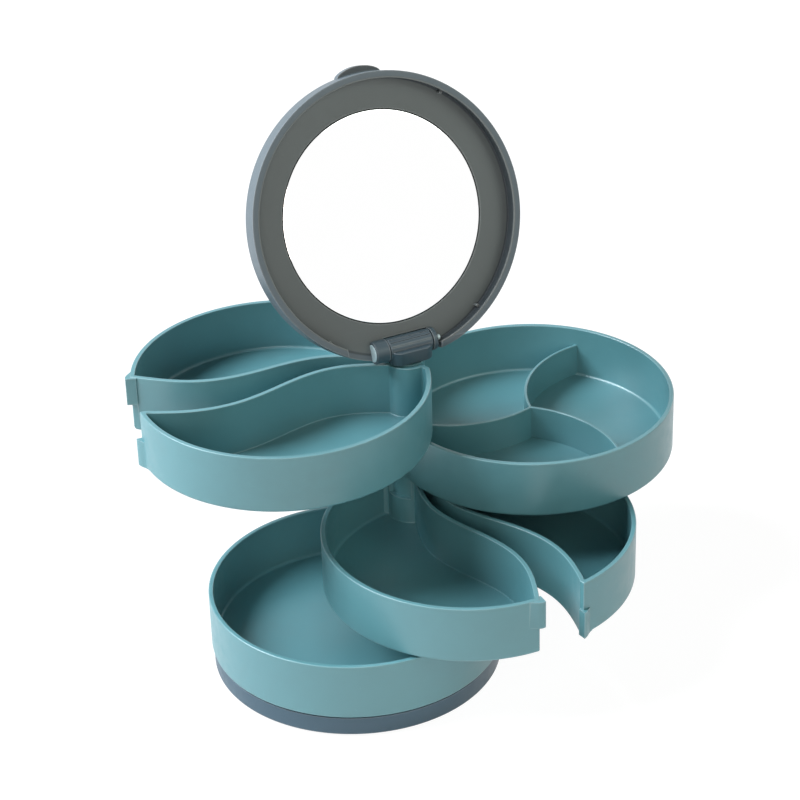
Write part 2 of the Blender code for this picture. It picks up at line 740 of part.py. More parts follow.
def lid_shell(parent):
    low = lid_open_level
    top = low + LID_HEIGHT
    plate = low + LID_RECESS
    pocket = plate + mirror_pocket
    inner = lid_radius - LID_RIM
    pocket_radius = mirror_radius + MIRROR_GAP
    profile = [(pocket_radius, pocket), (pocket_radius, plate), (inner, plate),
               (inner, low + LID_LIP_HEIGHT), (inner - LID_LIP, low + LID_LIP_HEIGHT - LID_LIP),
               (inner - LID_LIP, low), (lid_radius, low)]
    edge = reversed(quarter(LID_EDGE_ROUND, LID_EDGE_STEPS))
    profile += [(lid_radius - inset, top - rise) for inset, rise in edge]
    centre = (0, -pivot_offset, 0)
    lid = object_from("lid_shell", turned(profile, ROUND_SEGMENTS, centre), parent)
    back = PIVOT_INSET + OVERRUN
    cut(lid, box((-left_ear_end - LEFT_RIM_GAP, -2 * (BARREL_RADIUS + EAR_GAP), low - OVERRUN),
                 (right_ear_end + RIGHT_RIM_GAP, back, plate + PLATE_SCOOP)))
    reach = lid_radius / 2
    cut(lid, along_x(prism(across_axis(sweep_outline()), -reach, reach)))
    join(lid, along_x(prism(across_axis(ear_outline()), -left_ear_end, right_ear_end)))
    slot = across_axis(slot_outline(low - OVERRUN, top + OVERRUN, back))
    cut(lid, along_x(prism(slot, -BARREL_LEFT - EAR_GAP, BARREL_RIGHT + EAR_GAP)))
    join(lid, along_x(prism(across_axis(gusset_outline()), BARREL_RIGHT + EAR_GAP + SCREW_GAP,
                            right_ear_end - SCREW_GAP)))
    cut(lid, along_x(cylinder(PIN_RADIUS + SCREW_GAP, PIN_END_GAP - left_ear_end,
                              right_ear_end + OVERRUN)))
    span = (-LID_TAB_HALF_WIDTH, LID_TAB_HALF_WIDTH)
    bump = bump_outline(lid_radius, LID_TAB_HALF_WIDTH, LID_TAB_PROUD, LID_TAB_POWER, span,
                        [(place, LID_RIM / 2) for place in reversed(span)])
    tab_top = top - LID_TAB_DROP
    join(lid, prism(bump, tab_top - LID_TAB_HEIGHT, tab_top, centre))
    turn = LID_RIB_TURN_DEG
    for degrees in (turn, 180 - turn, 180 + turn, -turn):
        rib = box((inner - LID_RIB_DEPTH, -LID_RIB_THICKNESS / 2, plate - LID_RIB_HEIGHT),
                  (inner + LID_RIM / 2, LID_RIB_THICKNESS / 2, plate + lid_plate / 2))
        rotated(rib, degrees)
        bmesh.ops.translate(rib, verts=rib.verts, vec=centre)
        join(lid, rib)
    return finish(lid, LID_SLATE)


left_ear_end = BARREL_LEFT + EAR_GAP + LEFT_EAR_LENGTH
right_ear_end = BARREL_RIGHT + EAR_GAP + RIGHT_EAR_LENGTH


def mirror_parts(parent):
    face = lid_open_level + LID_RECESS + MIRROR_SINK
    back = face + MIRROR_THICKNESS
    centre = (0, -pivot_offset, 0)
    mirror = object_from("mirror", turned([
        (mirror_radius - MIRROR_EDGE, face), (mirror_radius, face + MIRROR_EDGE), (mirror_radius, back),
    ], ROUND_SEGMENTS, centre), parent)
    finish(mirror, MIRROR, 0.03, 1.0)
    tape_low = back + TAPE_GAP
    tape_high = tape_low + TAPE_THICKNESS
    outer = mirror_radius - TAPE_INSET
    inner = outer - TAPE_WIDTH
    tape = object_from("mirror_tape", turned([
        (inner, tape_low), (outer, tape_low), (outer, tape_high), (inner, tape_high),
    ], HUB_SEGMENTS, centre, True), parent)
    finish(tape, TAPE, 0.9)


def hinge_pin(parent):
    start = -left_ear_end + PIN_END_GAP + SCREW_GAP
    rod = cylinder(PIN_RADIUS, start, right_ear_end - SCREW_GAP)
    pin = object_from("hinge_pin", along_x(rod), parent)
    return finish(pin, STEEL, 0.3, 1.0)


def layer_empty(name, layer, turn):
    return empty_at(name, (0, pivot_offset, BASE_HEIGHT + layer * layer_pitch), (0, 0, turn))


def build():
    clear_scene()
    base_cover()
    base_tray()
    fixings()
    half_tray("third_tray_left", -1, layer_empty("third_left_swing", 1, THIRD_LEFT_TURN_DEG))
    half_tray("third_tray_right", 1, layer_empty("third_right_swing", 1, THIRD_RIGHT_TURN_DEG))
    second_tray(layer_empty("second_swing", 2, SECOND_TURN_DEG))
    half_tray("top_tray_left", -1, layer_empty("top_left_swing", 3, TOP_LEFT_TURN_DEG))
    half_tray("top_tray_right", 1, layer_empty("top_right_swing", 3, TOP_RIGHT_TURN_DEG))
    swivel = empty_at("lid_swivel", (0, pivot_offset, axis_height), (0, 0, LID_TURN_DEG))
    hinge_block(swivel)
    pivot_post(swivel)
    opening = empty_at("lid_hinge", (0, 0, 0), (-LID_OPEN_DEG, 0, 0), swivel)
    lid_shell(opening)
    mirror_parts(opening)
    hinge_pin(opening)


build()
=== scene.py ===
import bpy
import json
import math
from mathutils import Matrix, Vector


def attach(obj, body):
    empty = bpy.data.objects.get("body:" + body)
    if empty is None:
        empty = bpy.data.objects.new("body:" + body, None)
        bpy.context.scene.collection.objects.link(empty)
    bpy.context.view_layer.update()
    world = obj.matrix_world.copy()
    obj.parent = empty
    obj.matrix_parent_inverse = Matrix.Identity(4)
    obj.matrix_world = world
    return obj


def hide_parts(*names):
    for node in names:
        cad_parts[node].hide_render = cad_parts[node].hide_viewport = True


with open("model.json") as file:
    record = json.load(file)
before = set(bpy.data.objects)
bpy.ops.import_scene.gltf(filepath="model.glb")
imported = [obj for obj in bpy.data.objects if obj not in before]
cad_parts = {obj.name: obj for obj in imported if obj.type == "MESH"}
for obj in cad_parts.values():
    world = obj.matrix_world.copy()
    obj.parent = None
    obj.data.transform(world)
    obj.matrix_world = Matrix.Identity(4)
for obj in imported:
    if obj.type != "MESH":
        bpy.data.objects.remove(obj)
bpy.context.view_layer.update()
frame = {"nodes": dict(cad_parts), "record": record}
nodes = frame["nodes"]
print("frame loaded with", len(nodes), "nodes")


def newNode(tree, kind, **values):
    # a node whose keywords set its sockets where it has one of that name, and its settings otherwise
    node = tree.nodes.new(kind)
    for key, value in values.items():
        if key in node.inputs:
            node.inputs[key].default_value = value
        else:
            setattr(node, key, value)
    return node


def joined(tree, first, second, operation):
    node = newNode(tree, "ShaderNodeMath", operation=operation)
    tree.links.new(first, node.inputs[0])
    tree.links.new(second, node.inputs[1])
    return node.outputs[0]


# Where the photograph was taken from
shot = {
    "lens": 114.6,
    "azimuth": 26.695,
    "elevation": 29.666,
    "roll": -1.733,
    "place": (0.35698, -0.67010, 0.53610),
    "filmWidth": 36,
    "sightEnd": 20,
}


def addCamera():
    data = bpy.data.cameras.new("camera")
    data.lens = shot["lens"]
    data.sensor_width = shot["filmWidth"]
    data.clip_end = shot["sightEnd"]
    camera = bpy.data.objects.new("camera", data)
    bpy.context.scene.collection.objects.link(camera)
    turn = Matrix.Rotation(math.radians(shot["azimuth"]), 4, "Z")
    tilt = Matrix.Rotation(math.radians(90 - shot["elevation"]), 4, "X")
    roll = Matrix.Rotation(math.radians(shot["roll"]), 4, "Z")
    camera.matrix_world = Matrix.Translation(shot["place"]) @ turn @ tilt @ roll
    bpy.context.scene.camera = camera


# A cool window high on the left, weaker warm light from the front, a little from behind, a dim room
studio = {
    "lamps": {
        "windowLight": {"place": (-1.01, -0.48, 1.21), "size": 1.0, "power": 55.0,
                        "colour": (0.86, 0.93, 1.0)},
        "frontLight": {"place": (0.68, -1.31, 0.63), "size": 0.9, "power": 8.0,
                       "colour": (1.0, 0.90, 0.84)},
        "sideLight": {"place": (1.31, -0.05, 1.0), "size": 0.9, "power": 5.0,
                      "colour": (0.9, 1.0, 0.9)},
        "backLight": {"place": (0.35, 1.5, 0.5), "size": 0.9, "power": 4.0,
                      "colour": (1.0, 0.98, 0.96)},
    },
    "aim": (0.0, 0.03, 0.08),
    "roomColour": (1.0, 0.98, 0.95, 1),
    "roomStrength": 0.04,
    "floorShade": 0.14,
    "floorBounce": 0.80,
    "floorGlow": 0.94,
    "floorHalf": 3.0,
    "floorDrop": 0.0002,
}


def addLamp(name, look):
    data = bpy.data.lights.new(name, "AREA")
    data.shape = "DISK"
    data.size = look["size"]
    data.energy = look["power"]
    data.color = look["colour"]
    lamp = bpy.data.objects.new(name, data)
    bpy.context.scene.collection.objects.link(lamp)
    lamp.location = look["place"]
    toAim = Vector(studio["aim"]) - Vector(look["place"])
    lamp.rotation_euler = toAim.to_track_quat("-Z", "Y").to_euler()


def seenRays(tree):
    # 1 for rays that show the background itself: camera, mirror and glass rays
    path = newNode(tree, "ShaderNodeLightPath")
    firstTwo = joined(tree, path.outputs["Is Camera Ray"], path.outputs["Is Glossy Ray"], "MAXIMUM")
    return joined(tree, firstTwo, path.outputs["Is Transmission Ray"], "MAXIMUM")


def choice(tree, factor, first, second):
    mix = newNode(tree, "ShaderNodeMixShader")
    for index, socket in enumerate((factor, first, second)):
        tree.links.new(socket, mix.inputs[index])
    return mix.outputs[0]


def flatColour(level):
    return (level, level, level, 1)


def addStudio():
    for name, look in studio["lamps"].items():
        addLamp(name, look)
    world = bpy.data.worlds.new("room")
    bpy.context.scene.world = world
    world.use_nodes = True
    tree = world.node_tree
    room = tree.nodes["Background"]
    room.inputs["Color"].default_value = studio["roomColour"]
    room.inputs["Strength"].default_value = studio["roomStrength"]
    white = newNode(tree, "ShaderNodeBackground", Color=flatColour(1))
    seen = choice(tree, seenRays(tree), room.outputs[0], white.outputs[0])
    tree.links.new(seen, tree.nodes["World Output"].inputs["Surface"])

    bpy.ops.mesh.primitive_plane_add(size=2 * studio["floorHalf"],
                                     location=(0, 0, -studio["floorDrop"]))
    floor = bpy.context.object
    floor.name = "floor"
    material = bpy.data.materials.new("paleFloor")
    material.use_nodes = True
    tree = material.node_tree
    tree.nodes.clear()
    paint = newNode(tree, "ShaderNodeBsdfDiffuse", Color=flatColour(studio["floorShade"]))
    glow = newNode(tree, "ShaderNodeEmission", Color=flatColour(studio["floorGlow"]))
    both = newNode(tree, "ShaderNodeAddShader")
    tree.links.new(paint.outputs[0], both.inputs[0])
    tree.links.new(glow.outputs[0], both.inputs[1])
    # what the pale table throws back on the trays
    bounce = newNode(tree, "ShaderNodeBsdfDiffuse", Color=flatColour(studio["floorBounce"]))
    seen = choice(tree, seenRays(tree), bounce.outputs[0], both.outputs[0])
    tree.links.new(seen, newNode(tree, "ShaderNodeOutputMaterial").inputs["Surface"])
    floor.data.materials.append(material)


# Moulded plastics: a colour with slow flow marks, a satin grain, fine specks of dust,
# and paler edges, partly wear and partly a painted highlight along the rims
plastics = {
    # how much paler the edges get is partly wear and partly a painted highlight
    "tealPlastic": {"colour": (0.088, 0.236, 0.262), "cast": 0.07, "rough": 0.36,
                    "grain": 0.10, "wearAndHighlight": 0.22, "gloss": 0.85},
    "lidSlate": {"colour": (0.101, 0.116, 0.115), "cast": 0.05, "rough": 0.42,
                 "grain": 0.12, "wearAndHighlight": 0.35, "gloss": 0.5,
                 # the outside colour is a painted cool cast of the window light, and the groove colour
                 # is painted shade
                 "hinge": (0.046, 0.075, 0.092), "outside": (0.096, 0.122, 0.138),
                 "grooveShade": (0.040, 0.050, 0.056)},
    "baseSlate": {"colour": (0.041, 0.085, 0.119), "cast": 0.07, "rough": 0.42,
                  "grain": 0.12, "wearAndHighlight": 0.30, "gloss": 0.5},
    "hingeSlate": {"colour": (0.042, 0.072, 0.090), "cast": 0.07, "rough": 0.34,
                   "grain": 0.10, "wearAndHighlight": 0.20, "gloss": 0.5},
    "footRubber": {"colour": (0.030, 0.032, 0.034), "cast": 0.15, "rough": 0.80,
                   "grain": 0.50, "wearAndHighlight": 0.20, "gloss": 0.5},
    "foamTape": {"colour": (0.62, 0.62, 0.60), "cast": 0.06, "rough": 0.90,
                 "grain": 0.60, "wearAndHighlight": 0.05, "gloss": 0.5},
}
# The lid's tones, painted window light and painted shade among them, placed about its hinge as if the
# lid were closed: spans of distance from the centre of the lid, of height, and of place along and
# across the hinge
lidTints = {
    "axis": (0, 0.0468, 0.1025),
    "turn": (-110.0, 0, 52.0),
    "centre": (0, -0.0468, -0.002),
    "rim": (0.0495, 0.06),
    "outside": (0.003, 0.006),
    "grooveShade": (0.0489, 0.04975),
    "grooveShadeHigh": (-0.0040, 0.0020),
    "tab": (0.0519, 0.0600),
    "tabHigh": (-0.0020, 0.0003),
    "earsAlong": (-0.0138, 0.0110),
    "earsAcross": (-0.0045, 0.0055),
    "earsHigh": (-0.0045, 0.0008),
    "soft": 0.0002,
}
# How fine and how detailed each pattern is, the span of it that is used, and what all the
# plastics share
plasticScales = {
    "flow": (16.0, 3.0),
    "mottle": (240.0, 2.0),
    "grain": (2400.0, 2.0),
    "specks": (900.0, 1.0),
    "flowSpan": (0.3, 0.7),
    "mottleSpan": (0.35, 0.8),
    "speckSpan": (0.74, 0.80),
    "roughSpan": (0.3, 0.7),
    "noiseRough": 0.55,
    "mottleShare": 0.25,
    "speckShare": 0.12,
    "speckTone": 2.0,
    "edgeReach": 0.0005,
    "edgeSamples": 6,
    "edgeStart": 0.97,
    "edgeFull": 0.62,
    "edgePale": 0.35,
    "roughSpread": 0.05,
    "grainDepth": 0.00008,
}
metals = {
    "postSteel": {"colour": (0.56, 0.57, 0.58), "rough": 0.28, "haze": 0.94, "metal": 1.0},
    # the pin's pale bluish colour is partly its metal and partly a painted glint on its head
    "pinMetalAndGlint": {"colour": (0.62, 0.77, 0.80), "rough": 0.42, "haze": 0.92, "metal": 0.3},
    "mirrorGlass": {"colour": (1.0, 1.0, 1.0), "rough": 0.01, "haze": 0.995, "metal": 1.0},
}
metalScales = {
    "haze": (60.0, 2.0),
    "roughSpread": 1.3,
}


def ranged(tree, value, start, end, low=0.0, high=1.0):
    node = newNode(tree, "ShaderNodeMapRange", **{"From Min": start, "From Max": end,
                                                  "To Min": low, "To Max": high})
    tree.links.new(value, node.inputs["Value"])
    return node.outputs["Result"]


def edgeMask(tree):
    # near 1 along edges that stand out, which are made paler as wear and as a painted highlight,
    # and 0 in corners and on open surface
    depth = newNode(tree, "ShaderNodeAmbientOcclusion", samples=plasticScales["edgeSamples"],
                    inside=True, only_local=True, Distance=plasticScales["edgeReach"])
    return ranged(tree, depth.outputs["AO"], plasticScales["edgeStart"], plasticScales["edgeFull"])


def blended(tree, factor, first, second):
    mix = newNode(tree, "ShaderNodeMix", data_type="RGBA")
    tree.links.new(factor, mix.inputs[0])
    for value, socket in ((first, mix.inputs[6]), (second, mix.inputs[7])):
        if isinstance(value, tuple):
            socket.default_value = value
        else:
            tree.links.new(value, socket)
    return mix.outputs[2]


def toned(colour, amount):
    return tuple(min(1, c * amount) for c in colour) + (1,)


def paler(colour, share):
    return tuple(c + (1 - c) * share for c in colour) + (1,)


def within(tree, value, low, high):
    # 1 between two levels, 0 outside them
    level = newNode(tree, "ShaderNodeMath", operation="SUBTRACT")
    tree.links.new(value, level.inputs[0])
    level.inputs[1].default_value = (low + high) / 2
    away = newNode(tree, "ShaderNodeMath", operation="ABSOLUTE")
    tree.links.new(level.outputs[0], away.inputs[0])
    half, soft = (high - low) / 2, lidTints["soft"]
    return ranged(tree, away.outputs[0], half + soft, half - soft)


def lidTones(tree, place, body, look):
    # the rim and the outside are a little bluer, a painted cool cast of the window light; the groove
    # behind the rim and the underside of the thumb tab get painted shade; and the ears are as dark as
    # the block between them
    own = newNode(tree, "ShaderNodeMapping", vector_type="TEXTURE", Location=lidTints["axis"],
                  Rotation=tuple(math.radians(turn) for turn in lidTints["turn"]))
    tree.links.new(place, own.inputs["Vector"])
    parts = newNode(tree, "ShaderNodeSeparateXYZ")
    tree.links.new(own.outputs["Vector"], parts.inputs[0])
    along, across, height = parts.outputs
    centre = newNode(tree, "ShaderNodeVectorMath", operation="DISTANCE")
    tree.links.new(own.outputs["Vector"], centre.inputs[0])
    centre.inputs[1].default_value = lidTints["centre"]
    reach = centre.outputs["Value"]

    def spanned(*spans):
        mask = None
        for value, span in spans:
            level = within(tree, value, *lidTints[span])
            mask = level if mask is None else joined(tree, mask, level, "MULTIPLY")
        return mask

    outer = joined(tree, spanned((reach, "rim")), spanned((height, "outside")), "MAXIMUM")
    body = blended(tree, outer, body, look["outside"] + (1,))
    # painted shade in the groove behind the rim and under the thumb tab
    dark = joined(tree, spanned((reach, "grooveShade"), (height, "grooveShadeHigh")),
                  spanned((reach, "tab"), (height, "tabHigh")), "MAXIMUM")
    body = blended(tree, dark, body, look["grooveShade"] + (1,))
    ears = spanned((along, "earsAlong"), (across, "earsAcross"), (height, "earsHigh"))
    return blended(tree, ears, body, look["hinge"] + (1,))


def newMaterial(name):
    material = bpy.data.materials.new(name)
    material.use_nodes = True
    tree = material.node_tree
    place = newNode(tree, "ShaderNodeTexCoord").outputs["Object"]
    return material, tree, tree.nodes["Principled BSDF"], place


def noise(tree, place, scale, detail, **values):
    node = newNode(tree, "ShaderNodeTexNoise", Scale=scale, Detail=detail, **values)
    tree.links.new(place, node.inputs["Vector"])
    return node.outputs["Fac"]


def plasticMaterial(name):
    look = plastics[name]
    scales = plasticScales
    colour, cast = look["colour"], look["cast"]
    material, tree, shader, place = newMaterial(name)
    flow, mottle, grain, specks = (
        noise(tree, place, *scales[kind], Roughness=scales["noiseRough"])
        for kind in ("flow", "mottle", "grain", "specks"))
    wearAndHighlight = edgeMask(tree)
    # colour: flow marks, then a finer mottle, then pale dust specks, then paler edges that are partly
    # wear and partly painted highlight
    flowed = ranged(tree, flow, *scales["flowSpan"])
    body = blended(tree, flowed, toned(colour, 1 - cast), toned(colour, 1 + cast))
    mottled = ranged(tree, mottle, *scales["mottleSpan"], 0.0, scales["mottleShare"])
    body = blended(tree, mottled, body, toned(colour, 1 + 2 * cast))
    speckled = ranged(tree, specks, *scales["speckSpan"], 0.0, scales["speckShare"])
    body = blended(tree, speckled, body, toned(colour, scales["speckTone"]))
    if "hinge" in look:
        body = lidTones(tree, place, body, look)
    wearAndHighlightShare = ranged(tree, wearAndHighlight, 0.0, 1.0, 0.0, look["wearAndHighlight"])
    body = blended(tree, wearAndHighlightShare, body, paler(colour, scales["edgePale"]))
    tree.links.new(body, shader.inputs["Base Color"])
    shader.inputs["Specular IOR Level"].default_value = look["gloss"]
    # the satin differs a little from place to place
    spread = scales["roughSpread"]
    rough = ranged(tree, mottle, *scales["roughSpan"], look["rough"] - spread,
                   look["rough"] + spread)
    tree.links.new(rough, shader.inputs["Roughness"])
    bump = newNode(tree, "ShaderNodeBump", Strength=look["grain"], Distance=scales["grainDepth"])
    tree.links.new(grain, bump.inputs["Height"])
    tree.links.new(bump.outputs["Normal"], shader.inputs["Normal"])
    return material


def metalMaterial(name):
    look = metals[name]
    material, tree, shader, place = newMaterial(name)
    shader.inputs["Metallic"].default_value = look["metal"]
    haze = noise(tree, place, *metalScales["haze"])
    tone = blended(tree, haze, toned(look["colour"], look["haze"]), toned(look["colour"], 1))
    tree.links.new(tone, shader.inputs["Base Color"])
    rough = ranged(tree, haze, 0.0, 1.0, look["rough"], look["rough"] * metalScales["roughSpread"])
    tree.links.new(rough, shader.inputs["Roughness"])
    return material


finishes = {name: plasticMaterial(name) for name in plastics}
finishes.update({name: metalMaterial(name) for name in metals})

slotFinish = {
    "tray_teal": "tealPlastic",
    "lid_slate": "lidSlate",
    "base_slate": "baseSlate",
    "hinge_slate": "hingeSlate",
    "steel": "postSteel",
    "mirror": "mirrorGlass",
    "rubber": "footRubber",
    "tape": "foamTape",
}


def dressNodes():
    # every carried-over node gets the finish of its material slot
    for entry in frame["record"]["subparts"]:
        piece = nodes[entry["node"]]
        piece.data.materials.clear()
        piece.data.materials.append(finishes[slotFinish[entry["material_slot"]]])


dressNodes()
print("nodes dressed")

# The stack's own sizes: trays, the levels they sit at, and the post that they swing on
stack = {
    "trayRadius": 0.0525,
    "trayHeight": 0.0216,
    "wall": 0.0017,
    "floor": 0.0019,
    "pitch": 0.0225,
    "baseHeight": 0.0081,
    "postBack": 0.0468,
    "axisHeight": 0.1025,
    "hubRadius": 0.0062,
    "hubStand": 0.0003,
    "boreRadius": 0.00215,
    "past": 0.002,
    "bareEdge": 0.0003,
}
# How many sides the round shapes have, and how many steps their rounded edges have
roundness = {
    "pin": 32,
    "bore": 48,
    "head": 64,
    "hub": 96,
    "barrel": 120,
    "disc": 288,
}
steps = {
    "hairline": 2,
    "edge": 3,
    "fillet": 4,
    "lid": 6,
    "saddle": 8,
}
# How close counts as the same place, how straight a face has to look up, down or sideways,
# and how a finished mesh is smoothed
mending = {
    "level": 0.00001,
    "hair": 0.000004,
    "double": 0.000002,
    "sliver": 0.000003,
    "cut": 0.000001,
    "facing": 0.9,
    "holeSides": 4,
    "flatDegrees": 0.5,
    "sharpDegrees": 28,
    "smoothDegrees": 32,
}


def onlyActive(piece):
    if bpy.context.mode != "OBJECT":
        bpy.ops.object.mode_set(mode="OBJECT")
    bpy.ops.object.select_all(action="DESELECT")
    piece.select_set(True)
    bpy.context.view_layer.objects.active = piece


def pickFaces(piece, wanted):
    # edit mode, with only the faces whose centre and normal pass
    onlyActive(piece)
    bpy.ops.object.mode_set(mode="EDIT")
    bpy.ops.mesh.select_mode(type="FACE")
    bpy.ops.mesh.select_all(action="DESELECT")
    bpy.ops.object.mode_set(mode="OBJECT")
    for face in piece.data.polygons:
        face.select = wanted(face.center, face.normal)
    bpy.ops.object.mode_set(mode="EDIT")


def pickSharpEdges(piece, wanted, sharpness=mending["sharpDegrees"]):
    # edit mode, with only the sharp edges whose two ends pass
    onlyActive(piece)
    bpy.ops.object.mode_set(mode="EDIT")
    bpy.ops.mesh.select_mode(type="EDGE")
    bpy.ops.mesh.select_all(action="DESELECT")
    bpy.ops.object.mode_set(mode="OBJECT")
    beside = {}
    for face in piece.data.polygons:
        for key in face.edge_keys:
            beside.setdefault(key, []).append(face.normal.copy())
    corners = piece.data.vertices
    for edge in piece.data.edges:
        first, last = beside[edge.key][0], beside[edge.key][-1]
        start, end = (corners[index].co for index in edge.vertices)
        edge.select = first.angle(last, 0) > math.radians(sharpness) and wanted(start, end)
    bpy.ops.object.mode_set(mode="EDIT")


def pickCorners(piece, wanted):
    onlyActive(piece)
    bpy.ops.object.mode_set(mode="EDIT")
    bpy.ops.mesh.select_mode(type="VERT")
    bpy.ops.mesh.select_all(action="DESELECT")
    bpy.ops.object.mode_set(mode="OBJECT")
    for corner in piece.data.vertices:
        corner.select = wanted(corner.co)
    bpy.ops.object.mode_set(mode="EDIT")


def near(value, level, slack=mending["level"]):
    return abs(value - level) < slack


def mergeClose(piece, distance):
    onlyActive(piece)
    bpy.ops.object.mode_set(mode="EDIT")
    bpy.ops.mesh.select_all(action="SELECT")
    bpy.ops.mesh.remove_doubles(threshold=distance)
    bpy.ops.mesh.dissolve_degenerate(threshold=distance / 4)
    bpy.ops.object.mode_set(mode="OBJECT")


def bevelPicked(piece, width, segments):
    # rounds the picked edges, then merges what the bevel left closer than a hair
    bpy.ops.mesh.bevel(offset=width, segments=segments, profile=0.5, affect="EDGES",
                       clamp_overlap=False)
    bpy.ops.object.mode_set(mode="OBJECT")
    mergeClose(piece, mending["hair"])


def bevelLevel(piece, level, width, segments):
    # rounds the sharp edges that lie flat at one height
    pickSharpEdges(piece, lambda start, end: near(start.z, level) and near(end.z, level))
    bevelPicked(piece, width, segments)


def placed(piece):
    # moves the object's own place and turn into its mesh
    onlyActive(piece)
    bpy.ops.object.transform_apply(location=True, rotation=True, scale=True)
    return piece


def moved(value):
    # what an extrusion or a copy is moved by
    return {"TRANSFORM_OT_translate": {"value": value}}


def allFacingOut():
    # ends an edit that leaves open which way the new faces look
    bpy.ops.mesh.select_all(action="SELECT")
    bpy.ops.mesh.normals_make_consistent(inside=False)
    bpy.ops.object.mode_set(mode="OBJECT")


def addRod(name, radius, low, high, at=(0, 0), sides=roundness["hub"]):
    size = {"radius": radius, "depth": high - low, "vertices": sides}
    bpy.ops.mesh.primitive_cylinder_add(location=(at[0], at[1], (low + high) / 2), **size)
    rod = bpy.context.object
    rod.name = name
    return placed(rod)


def addRodAlongX(name, radius, start, end, sides=roundness["hub"]):
    size = {"radius": radius, "depth": end - start, "vertices": sides}
    bpy.ops.mesh.primitive_cylinder_add(location=((start + end) / 2, 0, 0),
                                        rotation=(0, math.radians(90), 0), **size)
    rod = bpy.context.object
    rod.name = name
    return placed(rod)


def addBlock(name, low, high):
    middle = [(a + b) / 2 for a, b in zip(low, high)]
    size = [b - a for a, b in zip(low, high)]
    bpy.ops.mesh.primitive_cube_add(size=1, location=middle, scale=size)
    block = bpy.context.object
    block.name = name
    return placed(block)


def combine(piece, tool, operation):
    onlyActive(piece)
    change = piece.modifiers.new("shape", "BOOLEAN")
    change.operation = operation
    change.solver = "EXACT"
    change.object = tool
    bpy.ops.object.modifier_apply(modifier=change.name)
    bpy.data.objects.remove(tool, do_unlink=True)


def tidied(piece, name, finish, body, node):
    # doubles merged, warped faces split, flats flat and rounds smooth; then it gets its finish
    # and its body, and the CAD node that it stands for is hidden
    piece.name = name
    piece.data.name = name
    onlyActive(piece)
    bpy.ops.object.mode_set(mode="EDIT")
    bpy.ops.mesh.select_all(action="SELECT")
    bpy.ops.mesh.remove_doubles(threshold=mending["double"])
    bpy.ops.mesh.delete_loose(use_faces=False)
    bpy.ops.mesh.select_all(action="SELECT")
    bpy.ops.mesh.fill_holes(sides=mending["holeSides"])
    bpy.ops.mesh.select_all(action="SELECT")
    bpy.ops.mesh.vert_connect_nonplanar(angle_limit=math.radians(mending["flatDegrees"]))
    bpy.ops.mesh.select_all(action="SELECT")
    bpy.ops.mesh.dissolve_degenerate(threshold=mending["sliver"])
    allFacingOut()
    bpy.ops.object.shade_smooth_by_angle(angle=math.radians(mending["smoothDegrees"]))
    evened = piece.modifiers.new("evened", "WEIGHTED_NORMAL")
    evened.keep_sharp = True
    bpy.ops.object.modifier_apply(modifier=evened.name)
    piece.data.materials.clear()
    piece.data.materials.append(finishes[finish])
    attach(piece, body)
    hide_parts(node)


def boreThrough(tray):
    past = stack["past"]
    bore = addRod("bore", stack["boreRadius"], -past, stack["trayHeight"] + past,
                  sides=roundness["bore"])
    combine(tray, bore, "DIFFERENCE")


def onLayer(tray, layer, turn=0.0):
    # from its own place about the post to its layer of the stack, swung out
    tray.location = (0, stack["postBack"], stack["baseHeight"] + layer * stack["pitch"])
    tray.rotation_euler.z = math.radians(turn)
    placed(tray)


# Halved trays: two pockets that part along one S line and swing on one post.
# They are modelled about the post; the tray's centre lies in front of it.
halfTray = {
    "splitGap": 0.0008,
    "frontSwing": 0.00705,
    "backSwing": 0.0046,
    "backLength": 0.03845,
    "keepRadius": 0.00665,
    "endTurn": 27.0,
    "pocketEndTurn": 17.2,
    "corner": 0.00035,
    "rimRound": 0.0003,
    "baseRound": 0.0012,
    "floorRound": 0.0012,
    "arcSides": 256,
    "splitSteps": 72,
    "seatGap": 0.0003,
    "neckRadius": 0.0075,
    "neckTurns": (-84.0, 34.0),
    "windowTurns": (-64.0, 10.0),
    "windowRadius": 0.0088,
    "windowSteps": 24,
    "ledge": 0.0012,
    "cornerDegrees": 40,
}
fingerTab = {
    "halfWidth": 0.0058,
    "proud": 0.0018,
    "sink": 0.0003,
    "drop": 0.0001,
    "rootDepth": 0.00136,
    "tongue": 0.001,
    "tongueDepth": 0.0021,
    "power": 2,
    "rimSides": 960,
}


def splitX(y):
    # the S line: a long swing to +X in front of the centre, a shorter one to -X behind it
    if y < 0:
        return -halfTray["frontSwing"] * math.sin(math.pi * y / stack["trayRadius"])
    return -halfTray["backSwing"] * math.sin(math.pi * y / halfTray["backLength"])


def splitPoint(y, offset):
    # a point of the S line, moved sideways by the offset
    step = 0.00001
    slope = (splitX(y + step) - splitX(y - step)) / (2 * step)
    reach = math.hypot(1, slope)
    return Vector((splitX(y) + offset / reach, y - offset * slope / reach - stack["postBack"], 0))


